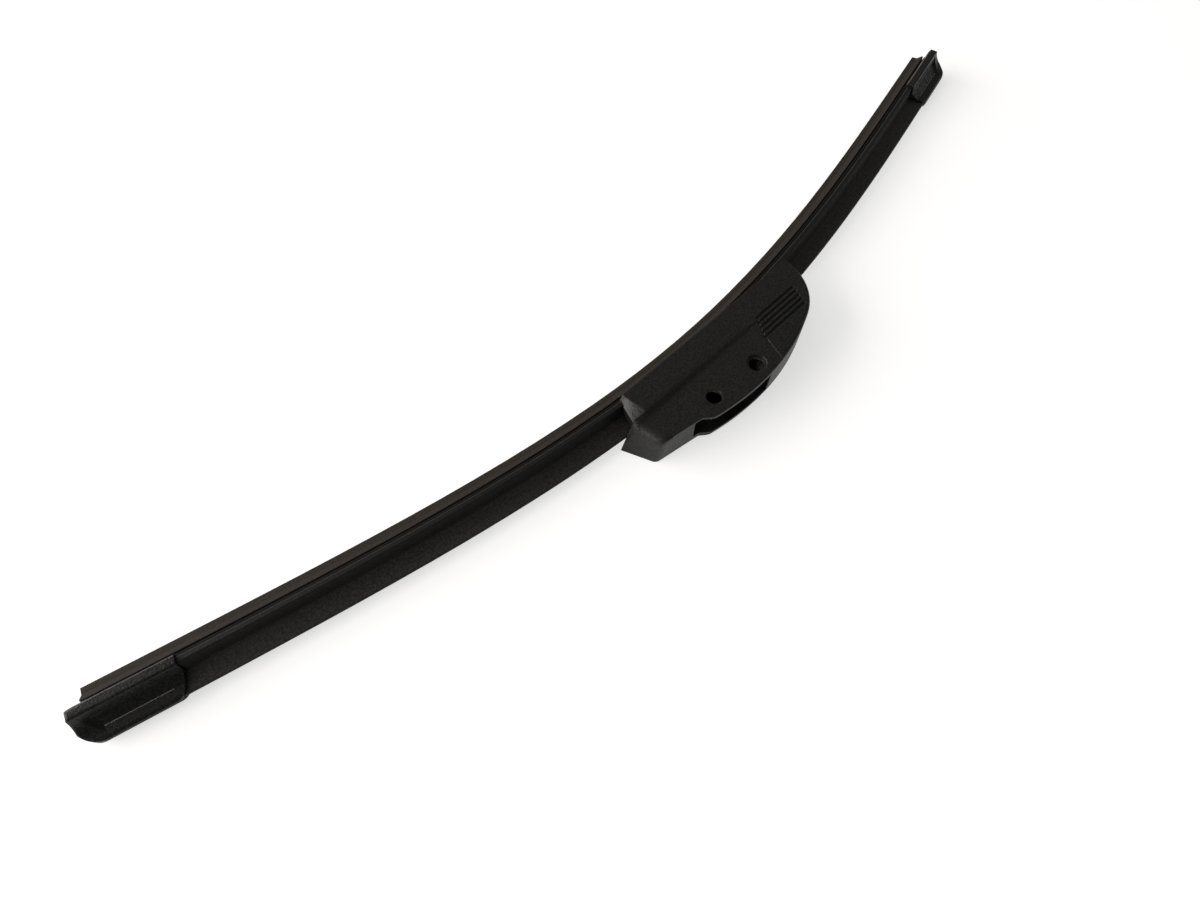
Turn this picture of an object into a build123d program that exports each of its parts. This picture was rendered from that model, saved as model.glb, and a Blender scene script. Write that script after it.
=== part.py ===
"""Flat wiper blade, lying on its side.

The origin is where the axis of the arm's pivot bore meets the blade's middle plane. X runs along
the blade, Y points towards the glass and Z is the bore's axis. Sections are drawn in two directions:
height, counted outwards from the lip's tip, and side, counted from the middle plane.
"""
import os
from math import copysign, cos, radians, sin

from build123d import *

# Bow of the whole blade
blade_length = 475.0
bow_angle = 27.3
bow_power = 1.5
bow_arcs = 5
straight_run = 2.5

# Place of the arm's pivot, from the bow's middle and from the lip's tip
pivot_along = -7.3
pivot_height = 31.0

# Rubber strip, half widths and heights from the lip's tip
lip_half = 0.35
lip_root_half = 0.65
lip_height = 2.6
shoulder_half = 2.5
shoulder_start = 4.6
shoulder_end = 5.1
neck_half = 0.45
foot_height = 5.75
foot_half = 2.4
foot_end = 6.9
stem_half = 1.9
web_half = 0.5
head_half = 1.5
head_thickness = 0.45

# Spring rails
rail_height = 8.2
rail_thickness = 0.9
rail_width = 3.0
rail_setback = 1.0
notch_length = 6.0
notch_depth = 0.8
cap_notch_length = 3.0
cap_notch_inset = 14.0

# Fits
rail_fit = 0.08
clamp_fit = 0.12
cap_fit = 0.15
rubber_room = 0.4
spoiler_room = 0.5

# Spoiler section
claw_wall = 0.8
claw_lip = 0.55
claw_reach = 1.4
ledge_height = 2.3
ledge_edge = 0.35
valley_width = 6.0
valley_rise = 0.5
fin_height = 18.0
fin_tip_radius = 0.75
fin_lean = 0.35
fin_back = 5.0
fin_hollow = 0.4
spoiler_start = 27.0
spoiler_in_cap = 7.0

# End caps
cap_cover = 30.5
cap_nose = 5.2
cap_nose_rake = 1.4
cap_back_radius = 3.5
cap_wall = 0.85
cap_sole = 0.95
cap_edge = 0.7
cap_ledge_radius = 1.0
cap_lip_face = 4.2
cap_lip_rise = 0.4
cap_valley_rise = 1.7
cap_scoop_radius = 8.0
cap_nose_rim = 2.4
cap_nose_hollow = 1.2
cap_nose_radius = 8.0
cap_toe_radius = 4.0
cap_heel_rake = 3.5
cap_heel_radius = 4.5

# Connector housing, along the blade from the bow's middle and up from the lip's tip
housing_base = 6.2
belt_half = 7.5
belt_top = 17.2
belt_start = -34.0
belt_lean = 3.2
bevel_low = 1.5
bevel_high = 5.8
bevel_side = 4.7
visor_under = 17.4
visor_top = 31.2
visor_near_low = -37.5
visor_near_high = -36.2
visor_far_low = -44.0
visor_far_high = -38.0
visor_tip = -46.0
visor_rounding = 3.0
window_start = -20.5
window_length = 38.0
window_half = 5.0
window_floor = 14.0
deck_end_height = 33.7
hump_foot = 3.0
hump_foot_height = 34.2
hump_ramp = 4.0
hump_ramp_height = 37.3
hump_slope = 11.2
hump_radius = 121.0
hump_turn = 14.7
roof_radius = 94.0
roof_turn = 21.5
flange_height = 0.85
dome_rounding = 1.2
tail_wall = 2.2
tail_front_wall = 2.5
tunnel_overrun = 15.0
pivot_bore = 6.3
lock_along = 16.5
lock_height = 32.5
lock_bore = 6.2
lock_recess = 8.0
lock_recess_depth = 1.4
lock_room = 0.5

# Windward cheek, set back from the belt as far as the grip's slanted step
cheek_drop = 1.5
cheek_slope_width = 2.2
step_height = 0.4
step_low = (34.0, 17.2)
step_middle = (28.6, 26.8)
step_high = (25.4, 37.6)

# Finger grip on both sides of the tail
grip_grooves = 5
grip_bottom = 18.2
grip_pitch = 2.15
grip_start = 32.6
grip_start_step = -1.15
grip_end = 57.0
grip_end_step = -0.75
groove_width = 1.1
groove_depth = 0.6

# Places that follow from the sizes above
half_length = blade_length / 2
rail_reach = half_length - rail_setback
cap_start = half_length - cap_cover
cap_notch_place = half_length - cap_notch_inset
spoiler_end = cap_start + spoiler_in_cap
curved_half = cap_start - straight_run
rail_top = rail_height + rail_thickness
rail_inner = web_half + rail_fit
rail_outer = rail_inner + rail_width
head_top = rail_top + rail_fit + head_thickness
bow_breaks = [curved_half * step / bow_arcs for step in range(1, bow_arcs + 1)]


def bend_law(place):
    """Turn of the strip at a distance from the bow's middle: the bend fades towards the ends."""
    return bow_angle / 2 * (1 - (1 - place / half_length) ** (bow_power + 1))


def heading(place):
    """Direction of the strip at a place along it, in degrees, even within each tangent arc."""
    before = 0.0
    for mark in bow_breaks:
        if abs(place) < mark:
            share = (abs(place) - before) / (mark - before)
            turn = bend_law(before) + share * (bend_law(mark) - bend_law(before))
            return copysign(turn, place)
        before = mark
    return copysign(bend_law(curved_half), place)


def bow_marks(start, end):
    """Both given places and the joins of the strip's arcs between them."""
    joins = sorted([-mark for mark in bow_breaks] + bow_breaks)
    return [start] + [mark for mark in joins if start < mark < end] + [end]


def bow_point(place):
    """Point of the lip's tip line at a place along the strip."""
    along = 0.0
    inwards = 0.0
    marks = bow_marks(0.0, abs(place))
    for start, end in zip(marks, marks[1:]):
        middle = radians(heading(start) + heading(end)) / 2
        half_turn = radians(heading(end) - heading(start)) / 2
        chord = (end - start) * (sin(half_turn) / half_turn if half_turn else 1.0)
        along += chord * cos(middle)
        inwards += chord * sin(middle)
    return copysign(along, place) - pivot_along, pivot_height + inwards


def bow_path(start, end):
    """The lip's tip line between two places, as tangent arcs and straight ends."""
    marks = bow_marks(start, end)
    with BuildLine() as path:
        for first, last in zip(marks, marks[1:]):
            turn = heading(last) - heading(first)
            if abs(turn) < 1e-9:
                Line(bow_point(first), bow_point(last))
            else:
                direction = (cos(radians(heading(first))), sin(radians(heading(first))))
                JernArc(bow_point(first), direction, (last - first) / radians(turn), turn)
    return path.wires()[0]


def section_at(place):
    """Plane across the strip: its X is the height and its Y the side."""
    x, y = bow_point(place)
    turn = radians(heading(place))
    return Plane(origin=(x, y, 0), x_dir=(sin(turn), -cos(turn), 0), z_dir=(-cos(turn), -sin(turn), 0))


def strip_room(fit, lip_gap):
    """Face of the room that the rails, and the rubber between and below them, need."""
    with BuildSketch() as room:
        with BuildLine():
            Polyline(
                (-shoulder_end, 0),
                (-shoulder_end, shoulder_half + lip_gap),
                (rail_height - fit, shoulder_half + lip_gap),
                (rail_height - fit, rail_outer + fit),
                (rail_top + fit, rail_outer + fit),
                (rail_top + fit, head_half + lip_gap),
                (head_top + fit, head_half + lip_gap),
                (head_top + fit, 0),
            )
            mirror(about=Plane.XZ)
        make_face()
    return room.sketch


def rail_lugs(place, fit):
    """Faces, across the strip, of the two lugs that sit in the rails' notches."""
    with BuildSketch(section_at(place)) as lugs:
        for facing in (1, -1):
            with Locations((rail_height + rail_thickness / 2, facing * rail_outer)):
                Rectangle(rail_thickness + 4 * fit, 2 * (notch_depth - fit))
    return lugs.sketch


# Side view of the housing: X along the blade from the bow's middle, Y the height
side_view = Plane(origin=(-pivot_along, pivot_height, 0), x_dir=(1, 0, 0), z_dir=(0, 0, -1))
blade_middle = Plane(origin=(-pivot_along, 0, 0), z_dir=(1, 0, 0))

os.makedirs("parts", exist_ok=True)


# Rubber strip with its wiping lip, hinge neck and the two slots for the rails
with BuildPart() as wiper_rubber:
    with BuildSketch(section_at(-half_length)):
        with BuildLine():
            Polyline(
                (0, 0),
                (0, lip_half),
                (lip_height, lip_root_half),
                (lip_height + lip_root_half / 2, lip_root_half + lip_half),
                (shoulder_start, shoulder_half),
                (shoulder_end, shoulder_half),
                (shoulder_end + lip_half, neck_half),
                (foot_height, neck_half),
                (foot_height, foot_half),
                (foot_end, foot_half),
                (foot_end, stem_half),
                (rail_height - rail_fit, stem_half),
                (rail_height - rail_fit, web_half),
                (rail_top + rail_fit, web_half),
                (rail_top + rail_fit, head_half),
                (head_top, head_half - head_thickness / 2),
                (head_top, 0),
            )
            mirror(about=Plane.XZ)
        make_face()
    sweep(path=bow_path(-half_length, half_length))
wiper_rubber.part.label = "wiper_rubber"
export_step(wiper_rubber.part, "parts/wiper_rubber.step")


# Two spring rails, notched in the middle for the housing and near the ends for the caps
for rail_name, facing in (("spring_rail_front", 1), ("spring_rail_back", -1)):
    with BuildPart() as rail:
        with BuildSketch(section_at(-rail_reach)):
            with Locations((rail_height + rail_thickness / 2, facing * (rail_inner + rail_width / 2))):
                Rectangle(rail_thickness, rail_width)
        sweep(path=bow_path(-rail_reach, rail_reach))
        for place, length in (
            (0, notch_length),
            (-cap_notch_place, cap_notch_length),
            (cap_notch_place, cap_notch_length),
        ):
            with BuildSketch(section_at(place)):
                with Locations((rail_height + rail_thickness / 2, facing * rail_outer)):
                    Rectangle(3 * rail_thickness, 2 * notch_depth)
            extrude(amount=length / 2, both=True, mode=Mode.SUBTRACT)
    rail.part.label = rail_name
    export_step(rail.part, f"parts/{rail_name}.step")


# Spoiler halves: claws round both rails, an open valley towards the wind and a leaning fin
claw_half = rail_outer + rail_fit + claw_wall
claw_bottom = rail_height - rail_fit - claw_lip
ledge_top = claw_bottom + ledge_height
valley_side = claw_half - valley_width
valley_height = ledge_top + valley_rise
fin_tip_height = fin_height - fin_tip_radius
fin_far_side = fin_lean - fin_back
fin_near_side = fin_far_side + 2 * fin_tip_radius


def spoiler_face():
    """Section of the spoiler extrusion."""
    with BuildSketch() as face:
        with BuildLine():
            Polyline(
                (fin_tip_height, fin_far_side),
                (ledge_top, -fin_back),
                (claw_bottom + ledge_edge, -claw_half),
                (claw_bottom, -claw_half + ledge_edge),
                (claw_bottom, claw_reach - rail_outer),
                (rail_height - rail_fit, claw_reach - rail_outer),
                (rail_height - rail_fit, -rail_outer - rail_fit),
                (rail_top + rail_fit, -rail_outer - rail_fit),
                (rail_top + rail_fit, -head_half - rail_fit),
                (head_top + rail_fit, -head_half),
                (head_top + rail_fit, head_half),
                (rail_top + rail_fit, head_half + rail_fit),
                (rail_top + rail_fit, rail_outer + rail_fit),
                (rail_height - rail_fit, rail_outer + rail_fit),
                (rail_height - rail_fit, rail_outer - claw_reach),
                (claw_bottom, rail_outer - claw_reach),
                (claw_bottom, claw_half - ledge_edge),
                (claw_bottom + ledge_edge, claw_half),
                (ledge_top - ledge_edge, claw_half),
                (ledge_top, claw_half - ledge_edge),
                (valley_height, valley_side),
            )
            SagittaArc((valley_height, valley_side), (fin_tip_height, fin_near_side), -fin_hollow)
            ThreePointArc(
                (fin_tip_height, fin_near_side),
                (fin_height, fin_far_side + fin_tip_radius),
                (fin_tip_height, fin_far_side),
            )
        make_face()
    return face.sketch


with BuildPart() as spoiler_right:
    with BuildSketch(section_at(spoiler_start)):
        add(spoiler_face())
    sweep(path=bow_path(spoiler_start, spoiler_end))
spoiler_right.part.label = "spoiler_right"
export_step(spoiler_right.part, "parts/spoiler_right.step")

with BuildPart() as spoiler_left:
    mirror(spoiler_right.part, about=blade_middle)
spoiler_left.part.label = "spoiler_left"
export_step(spoiler_left.part, "parts/spoiler_left.step")


# End caps: the spoiler's section one wall larger, scooped towards the wind, with a round nose
cap_half = claw_half + cap_wall
cap_bottom = claw_bottom - cap_sole
cap_back = fin_back + cap_wall
cap_top = fin_height + cap_wall
cap_ledge = ledge_top + cap_wall
cap_rim_side = fin_near_side + cap_wall
cap_rim_radius = (cap_back + cap_rim_side) / 2
cap_rim_height = cap_top - cap_rim_radius
cap_length = cap_cover + cap_nose
ledge_centre = (cap_ledge - cap_ledge_radius, cap_half - cap_ledge_radius)
cap_plane = section_at(half_length)
cap_side_view = Plane(origin=cap_plane.origin, x_dir=-cap_plane.z_dir, z_dir=(0, 0, -1))
cap_top_view = Plane(origin=cap_plane.origin, x_dir=-cap_plane.z_dir, z_dir=cap_plane.x_dir)

with BuildPart() as end_cap_right:
    with BuildSketch(cap_plane.offset(-cap_nose)):
        with BuildLine():
            Polyline(
                (cap_rim_height, -cap_back),
                (cap_bottom + cap_edge, -cap_back),
                (cap_bottom, -cap_back + cap_edge),
                (cap_bottom, cap_half - cap_edge),
                (cap_bottom + cap_edge, cap_half),
                (cap_ledge - cap_ledge_radius, cap_half),
            )
            ledge_curve = CenterArc(ledge_centre, cap_ledge_radius, 0, 90)
            SagittaArc(ledge_curve @ 0, (cap_rim_height, cap_rim_side), -cap_nose_hollow)
            ThreePointArc(
                (cap_rim_height, cap_rim_side),
                (cap_top, cap_rim_radius - cap_back),
                (cap_rim_height, -cap_back),
            )
        make_face()
    extrude(amount=cap_length)

    # Scoop between the ledge and the rim, running out in a curve towards the nose
    with BuildPart(mode=Mode.PRIVATE) as scoop:
        with BuildSketch(section_at(cap_start)):
            with BuildLine():
                Polyline(
                    (cap_ledge, cap_half - cap_ledge_radius),
                    (valley_height + cap_wall, valley_side + cap_wall + cap_valley_rise),
                    (cap_top - cap_lip_face, cap_rim_side + cap_lip_rise),
                    (cap_rim_height, cap_rim_side),
                    (cap_top, cap_rim_side),
                    (cap_top, cap_half),
                    (cap_ledge, cap_half),
                    close=True,
                )
            make_face()
        extrude(amount=-cap_length)
        with BuildSketch(cap_top_view):
            with BuildLine():
                scoop_turn = cap_nose - cap_nose_rake - cap_nose_rim - cap_scoop_radius
                scoop_deep = cap_rim_side - cap_edge
                run_out = JernArc((scoop_turn, scoop_deep), (1, 0), cap_scoop_radius, 90)
                scoop_open = -2 * cap_cover
                Polyline(run_out @ 1, (scoop_open, (run_out @ 1).Y), (scoop_open, scoop_deep), run_out @ 0)
            make_face()
        extrude(amount=cap_top, mode=Mode.INTERSECT)
    add(scoop.part, mode=Mode.SUBTRACT)

    # Nose, toe and heel rounded as seen from the side, and the nose slanted as seen from the top
    with BuildSketch(cap_side_view):
        with BuildLine():
            FilletPolyline(
                (-cap_cover, cap_bottom),
                (cap_nose, cap_bottom),
                (cap_nose, cap_top),
                (cap_heel_rake - cap_cover, cap_top),
                (-cap_cover, cap_ledge),
                radius=[0, cap_toe_radius, cap_nose_radius, cap_heel_radius, 0],
                close=True,
            )
        make_face()
    extrude(amount=cap_back + cap_half, both=True, mode=Mode.INTERSECT)
    with BuildSketch(cap_top_view):
        with BuildLine():
            FilletPolyline(
                (-cap_cover, -cap_back),
                (cap_nose, -cap_back),
                (cap_nose - cap_nose_rake, cap_half),
                (-cap_cover, cap_half),
                radius=[0, cap_back_radius, cap_edge, 0],
                close=True,
            )
        make_face()
    extrude(amount=cap_top, mode=Mode.INTERSECT)

    # Room for the spoiler's end, then for the rails and the rubber
    with BuildSketch(section_at(cap_start)):
        offset(spoiler_face(), amount=cap_fit, kind=Kind.INTERSECTION)
    extrude(amount=-spoiler_in_cap - cap_fit, mode=Mode.SUBTRACT)
    with BuildSketch(section_at(cap_start)):
        add(strip_room(cap_fit, rubber_room))
    extrude(amount=-cap_cover - cap_fit, mode=Mode.SUBTRACT)
    extrude(rail_lugs(cap_notch_place, cap_fit), amount=cap_notch_length / 2 - cap_fit, both=True)
end_cap_right.part.label = "end_cap_right"
export_step(end_cap_right.part, "parts/end_cap_right.step")

with BuildPart() as end_cap_left:
    mirror(end_cap_right.part, about=blade_middle)
end_cap_left.part.label = "end_cap_left"
export_step(end_cap_left.part, "parts/end_cap_left.step")


# Connector housing: one moulding that claws the rails, with the adapter's window between two cheeks
lock_end = lock_along + lock_recess / 2 + lock_room
lock_top = lock_height + lock_recess / 2 + lock_room
ramp_start = window_start + hump_foot
ramp_end = ramp_start + hump_ramp
belt_corner = belt_start - belt_lean
deck_fall = (deck_end_height - visor_top) / (window_start - visor_near_high)
deck_tip_height = visor_top - deck_fall * (visor_near_high - visor_tip)
above_housing = 45.0
beyond_side = 2 * belt_half


def level(height):
    """Plane along the blade at a height: its X from the bow's middle, its Y the side."""
    return Plane(origin=(-pivot_along, pivot_height - height, 0), x_dir=(1, 0, 0), z_dir=(0, -1, 0))


with BuildPart() as connector_housing:
    with BuildSketch(side_view):
        with BuildLine():
            hump_way = (cos(radians(hump_slope)), sin(radians(hump_slope)))
            hump = JernArc((ramp_end, hump_ramp_height), hump_way, hump_radius, -hump_turn)
            roof = JernArc(hump @ 1, hump % 1, roof_radius, -roof_turn)
            dome_turn = hump_turn + roof_turn - hump_slope - 90
            dome_radius = ((roof @ 1).Y - housing_base - flange_height) / (roof % 1).X
            dome = JernArc(roof @ 1, roof % 1, dome_radius, dome_turn)
            dome_end = (dome @ 1).X
            Polyline(
                dome @ 1,
                (dome_end, housing_base),
                (belt_start, housing_base),
                (belt_corner, visor_under),
                (visor_tip, visor_under),
                (visor_tip, deck_tip_height),
                (window_start, deck_end_height),
                (ramp_start, hump_foot_height),
                (ramp_end, hump_ramp_height),
            )
        make_face()
    extrude(amount=belt_half, both=True)

    # Hump, roof and dome rounded along both sides
    fillet(edges().filter_by(GeomType.CIRCLE), dome_rounding)

    # Windward cheek set back from the belt, most at the visor and least at the grip's step
    cheek_run = step_middle[0] - visor_tip
    cheek_gain = cheek_drop - step_height
    visor_plane = Plane(origin=(visor_tip - pivot_along, pivot_height, 0), x_dir=(0, -1, 0), z_dir=(-1, 0, 0))
    with BuildPart(mode=Mode.PRIVATE) as setback:
        with BuildSketch(visor_plane):
            Polygon(
                (belt_top, belt_half),
                (belt_top + cheek_slope_width, belt_half - cheek_drop),
                (above_housing, belt_half - cheek_drop),
                (above_housing, beyond_side),
                (belt_top, beyond_side),
                align=None,
            )
        extrude(amount=2 * cheek_run, dir=(cheek_run, 0, cheek_gain))
        with BuildSketch(side_view):
            Polygon(
                (visor_tip, belt_top),
                step_low,
                step_middle,
                step_high,
                (step_high[0], above_housing),
                (visor_tip, above_housing),
                align=None,
            )
        extrude(amount=beyond_side, both=True, mode=Mode.INTERSECT)
    add(setback.part, mode=Mode.SUBTRACT)

    for facing in (1, -1):
        # Bevel at the belt's end, growing from the base to the visor
        for height, bevel_start, bevel_end in (
            (housing_base, belt_start + bevel_low, belt_start),
            (visor_under, belt_start - belt_lean + bevel_high, belt_corner),
        ):
            with BuildSketch(level(height)):
                Polygon(
                    (bevel_start, facing * belt_half),
                    (bevel_end, facing * bevel_side),
                    (visor_tip, facing * bevel_side),
                    (visor_tip, facing * beyond_side),
                    (bevel_start, facing * beyond_side),
                    align=None,
                )
        loft(ruled=True, mode=Mode.SUBTRACT)

    # Visor's front, upright on the windward side and raked on the other, cut to above the deck
    front_top = max(deck_tip_height, deck_end_height) + visor_rounding
    front_share = (front_top - visor_under) / (visor_top - visor_under)
    for height, near, far in (
        (visor_under, visor_near_low, visor_far_low),
        (
            front_top,
            visor_near_low + front_share * (visor_near_high - visor_near_low),
            visor_far_low + front_share * (visor_far_high - visor_far_low),
        ),
    ):
        with BuildSketch(level(height)):
            Polygon(
                (near, belt_half),
                (far, -belt_half),
                (visor_tip - belt_half, -belt_half),
                (visor_tip - belt_half, belt_half),
                align=None,
            )
    loft(ruled=True, mode=Mode.SUBTRACT)

    # Adapter window, open to the top, with room under the roof for the lock
    with BuildSketch(side_view):
        with Locations((window_start, window_floor)):
            Rectangle(window_length, above_housing, align=(Align.MIN, Align.MIN))
        with Locations((window_start, window_floor)):
            Rectangle(lock_end - window_start, lock_top - window_floor, align=(Align.MIN, Align.MIN))
    extrude(amount=window_half, both=True, mode=Mode.SUBTRACT)

    # Hollow tail, open towards the glass
    with BuildSketch(side_view):
        with BuildLine():
            inwards = tail_wall * Vector((hump % 1).Y, -(hump % 1).X)
            inner_roof = JernArc(hump @ 1 + inwards, hump % 1, roof_radius - tail_wall, -roof_turn)
            inner_dome = JernArc(inner_roof @ 1, inner_roof % 1, dome_radius - tail_wall, dome_turn)
            Polyline(
                inner_dome @ 1,
                (dome_end - tail_wall, housing_base - tail_wall),
                ((inner_roof @ 0).X, housing_base - tail_wall),
                inner_roof @ 0,
            )
        make_face()
        with Locations((lock_end + tail_front_wall, housing_base - tail_wall)):
            Rectangle(dome_end, above_housing, align=(Align.MIN, Align.MIN), mode=Mode.INTERSECT)
    extrude(amount=belt_half - tail_wall, both=True, mode=Mode.SUBTRACT)

    # Curved tunnel for the rails and the rubber, wider where the spoiler halves come in
    tunnel_left = visor_tip - tunnel_overrun
    tunnel_right = dome_end + tunnel_overrun
    with BuildSketch(section_at(tunnel_left)):
        add(strip_room(clamp_fit, rubber_room))
    sweep(path=bow_path(tunnel_left, tunnel_right), mode=Mode.SUBTRACT)
    spoiler_stop = spoiler_start - spoiler_room
    for start, end in ((tunnel_left, -spoiler_stop), (spoiler_stop, tunnel_right)):
        with BuildSketch(section_at(start)):
            Polygon(
                (-shoulder_end, -fin_back - spoiler_room),
                (fin_height + spoiler_room, -fin_back - spoiler_room),
                (fin_height + spoiler_room, valley_side + spoiler_room),
                (valley_height + spoiler_room, valley_side + spoiler_room),
                (ledge_top + spoiler_room, claw_half + spoiler_room),
                (-shoulder_end, claw_half + spoiler_room),
                align=None,
            )
        sweep(path=bow_path(start, end), mode=Mode.SUBTRACT)
    extrude(rail_lugs(0, clamp_fit), amount=notch_length / 2 - clamp_fit, both=True)

    # Bores through both cheeks, one with a shallow recess
    with BuildSketch(side_view):
        with Locations((pivot_along, pivot_height)):
            Circle(pivot_bore / 2)
        with Locations((lock_along, lock_height)):
            Circle(lock_bore / 2)
    extrude(amount=belt_half, both=True, mode=Mode.SUBTRACT)
    for facing in (1, -1):
        with BuildSketch(side_view.offset(facing * belt_half)):
            with Locations((lock_along, lock_height)):
                Circle(lock_recess / 2)
        extrude(amount=-facing * lock_recess_depth, mode=Mode.SUBTRACT)

        # Finger grooves with round ends
        with BuildSketch(side_view.offset(facing * belt_half)):
            for groove in range(grip_grooves):
                groove_start = grip_start + groove * grip_start_step
                groove_end = grip_end + groove * grip_end_step
                with Locations(((groove_start + groove_end) / 2, grip_bottom + groove * grip_pitch)):
                    SlotOverall(groove_end - groove_start, groove_width)
        extrude(amount=-facing * groove_depth, mode=Mode.SUBTRACT)

    # Visor's front rounded towards the deck and the windward cheek
    front_edges = faces().sort_by(Axis.X)[0].edges().sort_by(Axis.Y)
    fillet([front_edges[0], front_edges[1:3].sort_by(Axis.Z)[-1]], visor_rounding)
connector_housing.part.label = "connector_housing"
export_step(connector_housing.part, "parts/connector_housing.step")
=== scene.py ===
"""Flat wiper blade lying on its side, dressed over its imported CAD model."""

import bpy
from mathutils import Matrix, Vector


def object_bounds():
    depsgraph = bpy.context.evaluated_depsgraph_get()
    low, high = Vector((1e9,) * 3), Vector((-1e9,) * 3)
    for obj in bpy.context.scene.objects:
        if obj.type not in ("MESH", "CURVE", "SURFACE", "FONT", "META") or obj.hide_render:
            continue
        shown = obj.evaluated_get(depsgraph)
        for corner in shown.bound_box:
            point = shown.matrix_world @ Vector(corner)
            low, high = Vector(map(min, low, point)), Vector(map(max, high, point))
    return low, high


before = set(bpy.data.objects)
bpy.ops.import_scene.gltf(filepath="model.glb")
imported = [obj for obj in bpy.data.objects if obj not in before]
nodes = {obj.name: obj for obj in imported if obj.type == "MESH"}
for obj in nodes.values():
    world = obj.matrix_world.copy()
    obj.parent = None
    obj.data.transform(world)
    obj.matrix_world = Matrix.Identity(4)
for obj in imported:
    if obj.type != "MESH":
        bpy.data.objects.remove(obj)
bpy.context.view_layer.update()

# Wiper rubber. A long extrusion of brownish black rubber with the wiping lip, a hinge neck and two slots
# for the rails. The die leaves faint lines along it. The skin is lighter on the lip, lightest in the
# hinge's groove and darker on the slope between, and the foot in the claws is painted dark as the slot's
# shadow.
# The first colour is the dark end of the height zones, painted as shade on the foot in the claws
RUBBER_DARK_AND_SHADE = (0.006, 0.0052, 0.0045, 1)
RUBBER_DEEP = (0.055, 0.045, 0.0367, 1)
RUBBER_COLOUR = (0.094, 0.0765, 0.0623, 1)
RUBBER_BLOOM = (0.13, 0.107, 0.088, 1)
RUBBER_SPECULAR = 0.25
RUBBER_ROUGHNESS = (0.7, 0.9)
RUBBER_LINES = {"Fineness": 1.6, "Stretch": 0.012}
RUBBER_LINE_BUMP = {"Distance": 0.0001, "Strength": 0.5}
RUBBER_GRAIN = {"Grain": 1200.0, "Mottle": 90.0}
RUBBER_GRAIN_BUMP = {"Distance": 0.00015, "Strength": 0.7}
EXTRUDED_EDGE = 0.0002

# Heights from the lip in millimetres, each with the share of the lighter skin shown there over the dark
# colour; the foot in the claws, from 5.8 up, shows none and is painted shade
RUBBER_TONE_AND_SHADE = (
    (0.0, 0.4),
    (2.5, 0.38),
    (2.9, 0.19),
    (4.4, 0.19),
    (4.65, 0.54),
    (5.2, 0.8),
    (5.6, 0.8),
    (5.8, 0.0),
)
ZONE_SPAN = 20.0

# The bow's line along the lip, in millimetres, as a curve of the fourth degree each way from its middle
MILLIMETRES = 1000.0
BOW_MIDDLE_X = 7.3
BOW_LIP_Y = 31.0
BOW_SQUARE = 1.2062e-3
BOW_CUBE = -2.2078e-6
BOW_FOURTH = 6.946e-10


def put(tree, kind, **values):
    """A new node with some of its inputs and settings filled in."""
    made = tree.nodes.new(kind)
    for name, value in values.items():
        if name in made.inputs:
            made.inputs[name].default_value = value
        else:
            setattr(made, name, value)
    return made


def maths(tree, operation, first, second=None, third=None):
    """A Math node that takes sockets or plain numbers, and gives its result."""
    made = put(tree, "ShaderNodeMath", operation=operation)
    for place, value in enumerate((first, second, third)):
        if isinstance(value, bpy.types.NodeSocket):
            tree.links.new(value, made.inputs[place])
        elif value is not None:
            made.inputs[place].default_value = value
    return made.outputs[0]


def shader_group(name, inputs, outputs):
    """An empty shader node group with its sockets, and its two ends."""
    tree = bpy.data.node_groups.new(name, "ShaderNodeTree")
    for label, value in inputs.items():
        socket = tree.interface.new_socket(label, in_out="INPUT", socket_type="NodeSocketFloat")
        socket.default_value = value
    for label, kind in outputs.items():
        tree.interface.new_socket(label, in_out="OUTPUT", socket_type=kind)
    return tree, tree.nodes.new("NodeGroupInput"), tree.nodes.new("NodeGroupOutput")


def blade_run_group():
    """Coordinates that follow the bow, in millimetres: along the blade, height from the lip, side."""
    tree, _, end = shader_group("blade_run", {}, {"Run": "NodeSocketVector"})
    place = put(tree, "ShaderNodeTexCoord")
    parts = put(tree, "ShaderNodeSeparateXYZ")
    tree.links.new(place.outputs["Object"], parts.inputs[0])
    along = maths(tree, "MULTIPLY", parts.outputs["X"], MILLIMETRES)
    along = maths(tree, "SUBTRACT", along, BOW_MIDDLE_X)
    reach = maths(tree, "ABSOLUTE", along)
    bend = maths(tree, "MULTIPLY_ADD", reach, BOW_FOURTH, BOW_CUBE)
    bend = maths(tree, "MULTIPLY_ADD", reach, bend, BOW_SQUARE)
    lip = maths(tree, "MULTIPLY_ADD", maths(tree, "MULTIPLY", reach, reach), bend, BOW_LIP_Y)
    slope = maths(tree, "MULTIPLY_ADD", reach, 4 * BOW_FOURTH, 3 * BOW_CUBE)
    slope = maths(tree, "MULTIPLY_ADD", reach, slope, 2 * BOW_SQUARE)
    slope = maths(tree, "MULTIPLY", reach, slope)
    drop = maths(tree, "SUBTRACT", lip, maths(tree, "MULTIPLY", parts.outputs["Y"], MILLIMETRES))
    lean = maths(tree, "SQRT", maths(tree, "MULTIPLY_ADD", slope, slope, 1.0))
    height = maths(tree, "DIVIDE", drop, lean)
    side = maths(tree, "MULTIPLY", parts.outputs["Z"], MILLIMETRES)
    joined = put(tree, "ShaderNodeCombineXYZ")
    for socket, value in zip(joined.inputs, (along, height, side)):
        tree.links.new(value, socket)
    tree.links.new(joined.outputs[0], end.inputs["Run"])
    return tree


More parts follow.
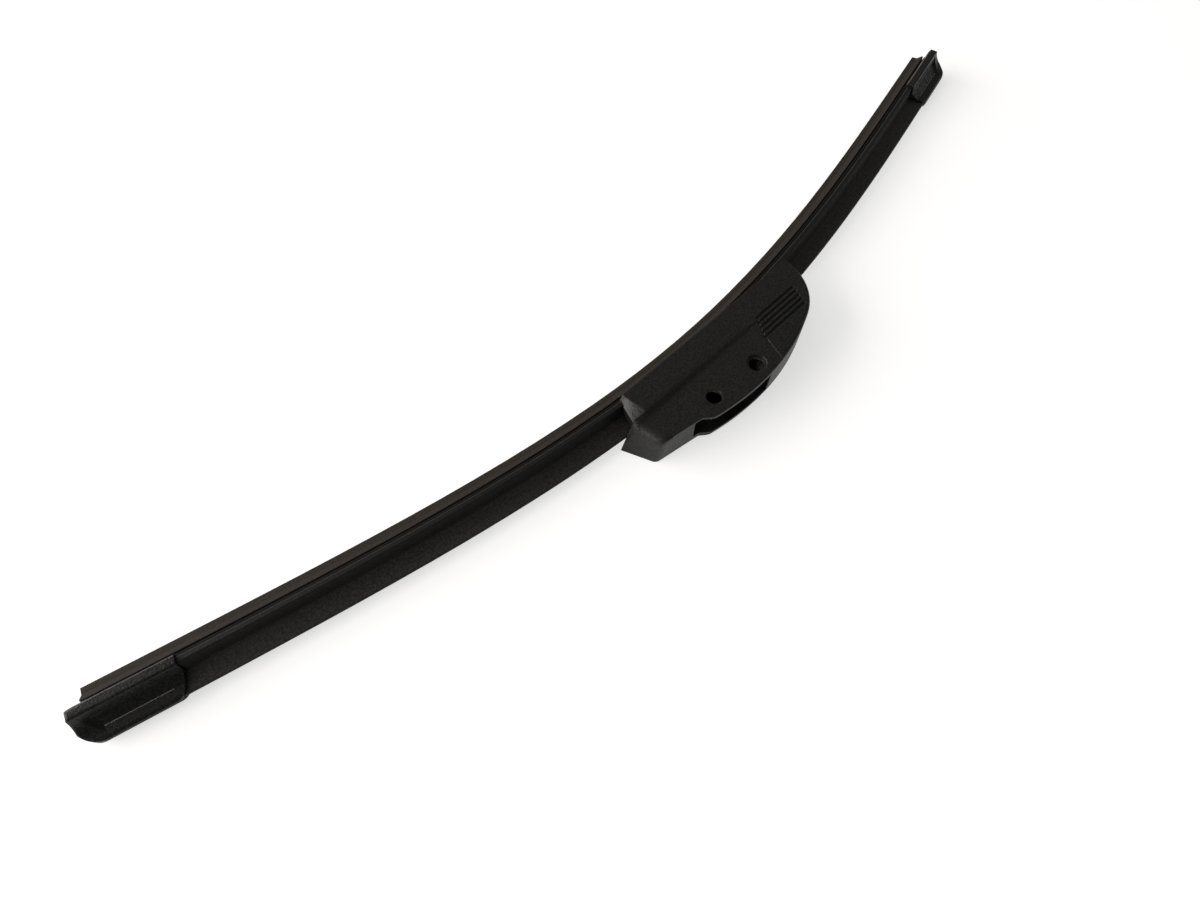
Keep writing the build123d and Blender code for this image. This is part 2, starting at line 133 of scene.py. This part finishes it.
def die_lines_group():
    """Faint lines that an extrusion's die leaves along the blade, as a height and a mask."""
    tree, start, end = shader_group(
        "die_lines",
        {"Fineness": 2.0, "Stretch": 0.02},
        {"Height": "NodeSocketFloat", "Mask": "NodeSocketFloat"},
    )
    run = put(tree, "ShaderNodeGroup", node_tree=BLADE_RUN)
    spread = put(tree, "ShaderNodeCombineXYZ")
    for socket, label in zip(spread.inputs, ("Stretch", "Fineness", "Fineness")):
        tree.links.new(start.outputs[label], socket)
    scaled = put(tree, "ShaderNodeVectorMath", operation="MULTIPLY")
    tree.links.new(run.outputs["Run"], scaled.inputs[0])
    tree.links.new(spread.outputs[0], scaled.inputs[1])
    lines = put(tree, "ShaderNodeTexNoise", Scale=1.0, Detail=3.0, Roughness=0.55)
    tree.links.new(scaled.outputs[0], lines.inputs["Vector"])
    tree.links.new(lines.outputs[0], end.inputs["Height"])
    spots = put(tree, "ShaderNodeMapRange", **{"From Min": 0.45, "From Max": 0.7})
    tree.links.new(lines.outputs[0], spots.inputs[0])
    tree.links.new(spots.outputs[0], end.inputs["Mask"])
    return tree


def skin_grain_group():
    """Fine grain as a height for the bump and as specks, and a slow mottle for gloss and colour."""
    tree, start, end = shader_group(
        "skin_grain",
        {"Grain": 2200.0, "Mottle": 60.0},
        {"Height": "NodeSocketFloat", "Specks": "NodeSocketFloat", "Mottle": "NodeSocketFloat"},
    )
    place = put(tree, "ShaderNodeTexCoord")
    fine = put(tree, "ShaderNodeTexNoise", Detail=3.0, Roughness=0.6)
    slow = put(tree, "ShaderNodeTexNoise", Detail=4.0, Roughness=0.6)
    for texture, label in ((fine, "Grain"), (slow, "Mottle")):
        tree.links.new(place.outputs["Object"], texture.inputs["Vector"])
        tree.links.new(start.outputs[label], texture.inputs["Scale"])
    specks = put(tree, "ShaderNodeMapRange", **{"From Min": 0.36, "From Max": 0.64})
    tree.links.new(fine.outputs[0], specks.inputs[0])
    tree.links.new(fine.outputs[0], end.inputs["Height"])
    tree.links.new(specks.outputs[0], end.inputs["Specks"])
    tree.links.new(slow.outputs[0], end.inputs["Mottle"])
    return tree


def worn_edges_group():
    """Rounded edges and where they are: a normal that rolls over each edge, and an edge mask."""
    tree, start, end = shader_group(
        "worn_edges",
        {"Radius": 0.0003},
        {"Normal": "NodeSocketVector", "Edge": "NodeSocketFloat"},
    )
    roll = put(tree, "ShaderNodeBevel", samples=6)
    tree.links.new(start.outputs["Radius"], roll.inputs["Radius"])
    flat = put(tree, "ShaderNodeNewGeometry")
    match = put(tree, "ShaderNodeVectorMath", operation="DOT_PRODUCT")
    tree.links.new(roll.outputs["Normal"], match.inputs[0])
    tree.links.new(flat.outputs["Normal"], match.inputs[1])
    edge = put(tree, "ShaderNodeMapRange", **{"From Min": 0.995, "From Max": 0.8})
    tree.links.new(match.outputs["Value"], edge.inputs[0])
    tree.links.new(roll.outputs["Normal"], end.inputs["Normal"])
    tree.links.new(edge.outputs[0], end.inputs["Edge"])
    return tree


BLADE_RUN = blade_run_group()
DIE_LINES = die_lines_group()
SKIN_GRAIN = skin_grain_group()
WORN_EDGES = worn_edges_group()


def new_finish(name, specular):
    """A material with its Principled shader."""
    made = bpy.data.materials.new(name)
    made.use_nodes = True
    shader = made.node_tree.nodes["Principled BSDF"]
    shader.inputs["Specular IOR Level"].default_value = specular
    return made, made.node_tree, shader


def blend_colours(tree, mask, low, high):
    """A colour between two others, by a mask."""
    mix = put(tree, "ShaderNodeMix", data_type="RGBA")
    colour_sockets = [socket for socket in mix.inputs if socket.type == "RGBA"]
    for socket, value in zip(colour_sockets, (low, high)):
        if isinstance(value, bpy.types.NodeSocket):
            tree.links.new(value, socket)
        else:
            socket.default_value = value
    tree.links.new(mask, mix.inputs[0])
    return next(socket for socket in mix.outputs if socket.type == "RGBA")


def spread_value(tree, mask, low, high):
    """A value that runs between two others as a mask goes from 0 to 1."""
    made = put(tree, "ShaderNodeMapRange", **{"To Min": low, "To Max": high})
    tree.links.new(mask, made.inputs[0])
    return made.outputs[0]


def raise_skin(tree, shader, height, bump_values, under=None):
    """A bump on the shader's normal, over another normal if one is given."""
    bump = put(tree, "ShaderNodeBump", **bump_values)
    tree.links.new(height, bump.inputs["Height"])
    if under is not None:
        tree.links.new(under, bump.inputs["Normal"])
    tree.links.new(bump.outputs[0], shader.inputs["Normal"])
    return bump.outputs[0]


def height_zones(tree, stops):
    """A mask by the height from the lip, in millimetres, that runs evenly from stop to stop."""
    run = put(tree, "ShaderNodeGroup", node_tree=BLADE_RUN)
    parts = put(tree, "ShaderNodeSeparateXYZ")
    tree.links.new(run.outputs["Run"], parts.inputs[0])
    ramp = put(tree, "ShaderNodeValToRGB")
    tree.links.new(maths(tree, "DIVIDE", parts.outputs["Y"], ZONE_SPAN), ramp.inputs[0])
    while len(ramp.color_ramp.elements) < len(stops):
        ramp.color_ramp.elements.new(1.0)
    for element, (height, level) in zip(ramp.color_ramp.elements, stops):
        element.position = height / ZONE_SPAN
        element.color = (level, level, level, 1)
    return ramp.outputs["Color"]


def extruded_finish(name, specular, roughness, colours, zones, lines_and_bump, grain_and_bump):
    """An extruded skin with die lines, grain and dust on them, darker where its zones say so; on the
    rubber's foot and the spoiler's claws and ledge that darkening is painted shade.
    """
    dark_and_shade, deep, plain, dusty = colours
    line_values, line_bump = lines_and_bump
    grain_values, grain_bump = grain_and_bump
    made, tree, shader = new_finish(name, specular)
    lines = put(tree, "ShaderNodeGroup", node_tree=DIE_LINES, **line_values)
    grain = put(tree, "ShaderNodeGroup", node_tree=SKIN_GRAIN, **grain_values)
    dust = maths(tree, "MULTIPLY", lines.outputs["Mask"], grain.outputs["Mottle"])
    skin = blend_colours(tree, grain.outputs["Specks"], deep, plain)
    skin = blend_colours(tree, dust, skin, dusty)
    # Darker towards the first colour by height: painted shade on the rubber's foot and the spoiler's claws
    # and ledge
    skin = blend_colours(tree, height_zones(tree, zones), dark_and_shade, skin)
    tree.links.new(skin, shader.inputs["Base Color"])
    tree.links.new(spread_value(tree, grain.outputs["Mottle"], *roughness), shader.inputs["Roughness"])
    edges = put(tree, "ShaderNodeGroup", node_tree=WORN_EDGES, Radius=EXTRUDED_EDGE)
    line_skin = raise_skin(tree, shader, lines.outputs["Height"], line_bump, edges.outputs["Normal"])
    raise_skin(tree, shader, grain.outputs["Height"], grain_bump, line_skin)
    return made


def dress(node_name, finish):
    """Puts one finish on a CAD node."""
    slots = nodes[node_name].data.materials
    slots.clear()
    slots.append(finish)


# The rubber's foot in the claws is painted dark as the slot's shadow
lip_rubber = extruded_finish(
    "lip_rubber",
    RUBBER_SPECULAR,
    RUBBER_ROUGHNESS,
    (RUBBER_DARK_AND_SHADE, RUBBER_DEEP, RUBBER_COLOUR, RUBBER_BLOOM),
    RUBBER_TONE_AND_SHADE,
    (RUBBER_LINES, RUBBER_LINE_BUMP),
    (RUBBER_GRAIN, RUBBER_GRAIN_BUMP),
)
dress("wiper_rubber", lip_rubber)

# Spring rails. Two flat strips of rolled spring steel in the rubber's slots, hidden by the claws. They are
# rolled to the bow and notched at the middle and near both ends.
STEEL_COLOUR = (0.36, 0.36, 0.37, 1)
STEEL_DARK = (0.20, 0.195, 0.19, 1)
STEEL_SPECULAR = 0.5
STEEL_ROUGHNESS = (0.24, 0.48)
STEEL_LINES = {"Fineness": 9.0, "Stretch": 0.05}
STEEL_LINE_BUMP = {"Distance": 0.00003, "Strength": 0.4}
spring_steel, tree, shader = new_finish("spring_steel", STEEL_SPECULAR)
shader.inputs["Metallic"].default_value = 1.0
rolling = put(tree, "ShaderNodeGroup", node_tree=DIE_LINES, **STEEL_LINES)
skin = blend_colours(tree, rolling.outputs["Mask"], STEEL_COLOUR, STEEL_DARK)
tree.links.new(skin, shader.inputs["Base Color"])
tree.links.new(spread_value(tree, rolling.outputs["Height"], *STEEL_ROUGHNESS), shader.inputs["Roughness"])
raise_skin(tree, shader, rolling.outputs["Height"], STEEL_LINE_BUMP)
for rail in ("spring_rail_front", "spring_rail_back"):
    dress(rail, spring_steel)

# Spoiler halves. Two lengths of black plastic extrusion, clipped on the rails by their claws. The valley
# and the leaning fin face the wind. The die's lines run along them, and the claws and the ledge are
# painted darker than the fin, as painted shade.
# The first colour is painted shade on the claws and the ledge
SPOILER_PAINTED_SHADE = (0.008, 0.0078, 0.0076, 1)
SPOILER_DEEP = (0.019, 0.0186, 0.018, 1)
SPOILER_COLOUR = (0.061, 0.0592, 0.0568, 1)
SPOILER_DUST = (0.066, 0.063, 0.06, 1)
# Shares of the plain skin by height from the lip; below 9.7 mm, on the claws and the ledge, little of it
# shows, as painted shade
SPOILER_SHADE_ZONES = ((0.0, 0.15), (9.7, 0.15), (11.0, 1.0))
SPOILER_SPECULAR = 0.22
SPOILER_ROUGHNESS = (0.34, 0.5)
SPOILER_LINES = {"Fineness": 2.6, "Stretch": 0.015}
SPOILER_LINE_BUMP = {"Distance": 0.00008, "Strength": 0.45}
SPOILER_GRAIN = {"Grain": 1250.0, "Mottle": 70.0}
SPOILER_GRAIN_BUMP = {"Distance": 0.00018, "Strength": 0.7}
spoiler_plastic = extruded_finish(
    "spoiler_plastic",
    SPOILER_SPECULAR,
    SPOILER_ROUGHNESS,
    (SPOILER_PAINTED_SHADE, SPOILER_DEEP, SPOILER_COLOUR, SPOILER_DUST),
    SPOILER_SHADE_ZONES,
    (SPOILER_LINES, SPOILER_LINE_BUMP),
    (SPOILER_GRAIN, SPOILER_GRAIN_BUMP),
)
for half in ("spoiler_left", "spoiler_right"):
    dress(half, spoiler_plastic)

# End caps. Two small black mouldings pushed over the spoiler's end and snapped in the rails' notches. The
# skin has a fine spark-eroded grain, polished a little along the edges, with a painted highlight drawn as a
# pale line along the scoop's crease.
MOULDING_DEEP = (0.0055, 0.0054, 0.0052, 1)
MOULDING_COLOUR = (0.0235, 0.0229, 0.022, 1)
MOULDING_RUBBED = (0.026, 0.0255, 0.025, 1)
MOULDING_MOTTLE = 45.0
MOULDING_POLISH = 0.12
MOULDING_BUMP = {"Distance": 0.00022, "Strength": 0.8}
CAP_SPECULAR = 0.24
CAP_ROUGHNESS = (0.3, 0.18)
CAP_GRAIN = 1350.0
CAP_RADIUS = 0.0004
NOSE_RADIUS = 0.0014
NOSE_START = 232.5
NOSE_END = 236.0

# The painted crease highlight's middle and half its extent along the blade, in height and to the side, in
# millimetres
CREASE_HIGHLIGHT_COLOUR = (0.45, 0.44, 0.43, 1)
CREASE_HIGHLIGHT_SHARPNESS = 12.0
CREASE_HIGHLIGHT_ALONG = (223.3, 10.7)
CREASE_HIGHLIGHT_HEIGHT = (14.8, 1.2)
CREASE_HIGHLIGHT_SIDE = (-1.9, 0.7)


def moulded_finish(name, specular, roughness, grain_scale):
    """A grained black moulding with polished edges, its edge group, and the colour of its skin."""
    made, tree, shader = new_finish(name, specular)
    grain = put(tree, "ShaderNodeGroup", node_tree=SKIN_GRAIN, Grain=grain_scale, Mottle=MOULDING_MOTTLE)
    edges = put(tree, "ShaderNodeGroup", node_tree=WORN_EDGES)
    rubbed = maths(tree, "MULTIPLY", edges.outputs["Edge"], grain.outputs["Mottle"])
    skin = blend_colours(tree, grain.outputs["Specks"], MOULDING_DEEP, MOULDING_COLOUR)
    skin = blend_colours(tree, rubbed, skin, MOULDING_RUBBED)
    tree.links.new(skin, shader.inputs["Base Color"])
    gloss = spread_value(tree, grain.outputs["Mottle"], *roughness)
    polish = maths(tree, "MULTIPLY", edges.outputs["Edge"], MOULDING_POLISH)
    tree.links.new(maths(tree, "SUBTRACT", gloss, polish), shader.inputs["Roughness"])
    raise_skin(tree, shader, grain.outputs["Height"], MOULDING_BUMP, edges.outputs["Normal"])
    return made, edges, skin


cap_plastic, edges, skin = moulded_finish("cap_plastic", CAP_SPECULAR, CAP_ROUGHNESS, CAP_GRAIN)
tree = cap_plastic.node_tree
run = put(tree, "ShaderNodeGroup", node_tree=BLADE_RUN)
place = put(tree, "ShaderNodeSeparateXYZ")
tree.links.new(run.outputs["Run"], place.inputs[0])
along = maths(tree, "ABSOLUTE", place.outputs["X"])
nose = put(tree, "ShaderNodeMapRange", **{"From Min": NOSE_START, "From Max": NOSE_END})
tree.links.new(along, nose.inputs[0])
tree.links.new(spread_value(tree, nose.outputs[0], CAP_RADIUS, NOSE_RADIUS), edges.inputs["Radius"])
# A pale line painted on the crease's edge as its highlight
crease_highlight = maths(tree, "MULTIPLY", edges.outputs["Edge"], CREASE_HIGHLIGHT_SHARPNESS)
crease_highlight = maths(tree, "MINIMUM", crease_highlight, 1.0)
for value, (middle, reach) in (
    (along, CREASE_HIGHLIGHT_ALONG),
    (place.outputs["Y"], CREASE_HIGHLIGHT_HEIGHT),
    (place.outputs["Z"], CREASE_HIGHLIGHT_SIDE),
):
    crease_highlight = maths(tree, "MULTIPLY", crease_highlight, maths(tree, "COMPARE", value, middle, reach))
skin = blend_colours(tree, crease_highlight, skin, CREASE_HIGHLIGHT_COLOUR)
tree.links.new(skin, tree.nodes["Principled BSDF"].inputs["Base Color"])
for cap in ("end_cap_left", "end_cap_right"):
    dress(cap, cap_plastic)

# Connector housing. One black moulding that claws the rails in the middle of the blade, with a window and
# two cross bores for the adapter, a visor and a hollow tail with finger grooves. Its edges are soft along
# the slope under the belt and round the visor's front, and crisp at the grip's step.
HOUSING_SPECULAR = 0.33
HOUSING_ROUGHNESS = (0.42, 0.26)
HOUSING_GRAIN = 1300.0
EDGE_RADIUS = 0.0006
SLOPE_RADIUS = 0.003
SLOPE_MIDDLE = (0.005, 0.0127, 0.0075)
SLOPE_REACH = (0.029, 0.005, 0.003)
VISOR_RADIUS = 0.004
VISOR_MIDDLE = (-0.0315, 0.005, 0.002)
VISOR_REACH = (0.0075, 0.0082, 0.007)
STEP_RADIUS = 0.0002
STEP_MIDDLE = (0.0365, 0.0035, 0.0065)
STEP_REACH = (0.006, 0.0115, 0.002)
housing_plastic, edges, _ = moulded_finish(
    "housing_plastic", HOUSING_SPECULAR, HOUSING_ROUGHNESS, HOUSING_GRAIN
)
tree = housing_plastic.node_tree
place = put(tree, "ShaderNodeTexCoord")
parts = put(tree, "ShaderNodeSeparateXYZ")
tree.links.new(place.outputs["Object"], parts.inputs[0])
rounding = EDGE_RADIUS
for radius, middles, reaches in (
    (SLOPE_RADIUS, SLOPE_MIDDLE, SLOPE_REACH),
    (VISOR_RADIUS, VISOR_MIDDLE, VISOR_REACH),
    (STEP_RADIUS, STEP_MIDDLE, STEP_REACH),
):
    change = radius - EDGE_RADIUS
    for label, middle, reach in zip("XYZ", middles, reaches):
        inside = maths(tree, "COMPARE", parts.outputs[label], middle, reach)
        change = maths(tree, "MULTIPLY", inside, change)
    rounding = maths(tree, "ADD", change, rounding)
tree.links.new(rounding, edges.inputs["Radius"])
dress("connector_housing", housing_plastic)

# Studio. A plain white floor that keeps a soft shadow, a sky that is paler behind the blade than behind the
# camera and white in the picture, and one wide soft light from the left, as in the photograph.
FLOOR_RADIUS = 2.4
FLOOR_SIDES = 96
FLOOR_GAP = 0.0001
FLOOR_COLOUR = (0.82, 0.82, 0.82, 1)
FLOOR_GLOW = 0.62
FLOOR_SHEEN = 0.6
SKY_AXIS = (-0.5, 0.8, 0.33)
SKY_START = 0.05
SKY_END = 0.95
SKY_DARK = 0.12
SKY_PALE = 0.47
SKY_TINT = (1.0, 0.98, 0.95, 1)
SKY_GLOW = 0.9
SKY_SHEEN = 0.04
LIGHT_PLACE = (-1.75, 1.55, 0.8)
LIGHT_WIDTH = 3.2
LIGHT_HEIGHT = 1.5
LIGHT_POWER = 80.0


def seen_glow(tree, strength, sheen):
    """A glow for what the camera sees, also through glass, and a share of it for what is mirrored."""
    path = put(tree, "ShaderNodeLightPath")
    mirrored = maths(tree, "MULTIPLY", path.outputs["Is Glossy Ray"], sheen)
    seen = maths(tree, "ADD", path.outputs["Is Camera Ray"], mirrored)
    seen = maths(tree, "ADD", seen, path.outputs["Is Transmission Ray"])
    return maths(tree, "MULTIPLY", seen, strength)


floor_place = (0, 0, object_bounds()[0][2] - FLOOR_GAP)
bpy.ops.mesh.primitive_circle_add(
    vertices=FLOOR_SIDES, radius=FLOOR_RADIUS, fill_type="NGON", location=floor_place
)
floor = bpy.context.object
floor.name = "studio_floor"
white_floor = bpy.data.materials.new("white_floor")
white_floor.use_nodes = True
tree = white_floor.node_tree
tree.nodes.remove(tree.nodes["Principled BSDF"])
matt = put(tree, "ShaderNodeBsdfDiffuse", Color=FLOOR_COLOUR)
glow = put(tree, "ShaderNodeEmission", Color=(1, 1, 1, 1))
tree.links.new(seen_glow(tree, FLOOR_GLOW, FLOOR_SHEEN), glow.inputs["Strength"])
both = put(tree, "ShaderNodeAddShader")
tree.links.new(matt.outputs[0], both.inputs[0])
tree.links.new(glow.outputs[0], both.inputs[1])
tree.links.new(both.outputs[0], tree.nodes["Material Output"].inputs["Surface"])
floor.data.materials.append(white_floor)

sky = bpy.data.worlds.new("studio_sky")
sky.use_nodes = True
bpy.context.scene.world = sky
tree = sky.node_tree
way = put(tree, "ShaderNodeTexCoord")
facing = put(tree, "ShaderNodeVectorMath", operation="DOT_PRODUCT")
facing.inputs[1].default_value = SKY_AXIS
tree.links.new(way.outputs["Generated"], facing.inputs[0])
level = put(
    tree,
    "ShaderNodeMapRange",
    interpolation_type="SMOOTHSTEP",
    **{"From Min": SKY_START, "From Max": SKY_END, "To Min": SKY_DARK, "To Max": SKY_PALE},
)
tree.links.new(facing.outputs["Value"], level.inputs[0])
pale = maths(tree, "ADD", level.outputs[0], seen_glow(tree, SKY_GLOW, SKY_SHEEN))
tree.links.new(pale, tree.nodes["Background"].inputs["Strength"])
tree.nodes["Background"].inputs["Color"].default_value = SKY_TINT

window_light = bpy.data.lights.new("window_light", "AREA")
window_light.shape = "RECTANGLE"
window_light.size = LIGHT_WIDTH
window_light.size_y = LIGHT_HEIGHT
window_light.energy = LIGHT_POWER
window_light.color = SKY_TINT[:3]
lamp = bpy.data.objects.new("window_light", window_light)
lamp.location = LIGHT_PLACE
lamp.rotation_euler = (-Vector(LIGHT_PLACE)).to_track_quat("-Z", "Y").to_euler()
bpy.context.scene.collection.objects.link(lamp)

# Camera. It looks down on the blade at the photograph's viewing angle, from close by and with a wide lens,
# so the near cap is drawn larger than the far one.
CAMERA_PLACE = (-0.1353, -0.0761, 0.2414)
CAMERA_RIGHT = Vector((0.7168, -0.6973, 0.0))
CAMERA_UP = Vector((0.6149, 0.6321, 0.4717))
CAMERA_LENS = 21.617
CAMERA_SENSOR = 36.0
CAMERA_NEAREST = 0.01
camera_data = bpy.data.cameras.new("photo_camera")
camera_data.lens = CAMERA_LENS
camera_data.sensor_width = CAMERA_SENSOR
camera_data.sensor_fit = "HORIZONTAL"
camera_data.clip_start = CAMERA_NEAREST
camera = bpy.data.objects.new("photo_camera", camera_data)
turn = Matrix((CAMERA_RIGHT, CAMERA_UP, CAMERA_RIGHT.cross(CAMERA_UP))).transposed()
camera.matrix_world = Matrix.Translation(CAMERA_PLACE) @ turn.to_4x4()
bpy.context.scene.collection.objects.link(camera)
bpy.context.scene.camera = camera
bpy.context.scene.view_settings.view_transform = "Standard"
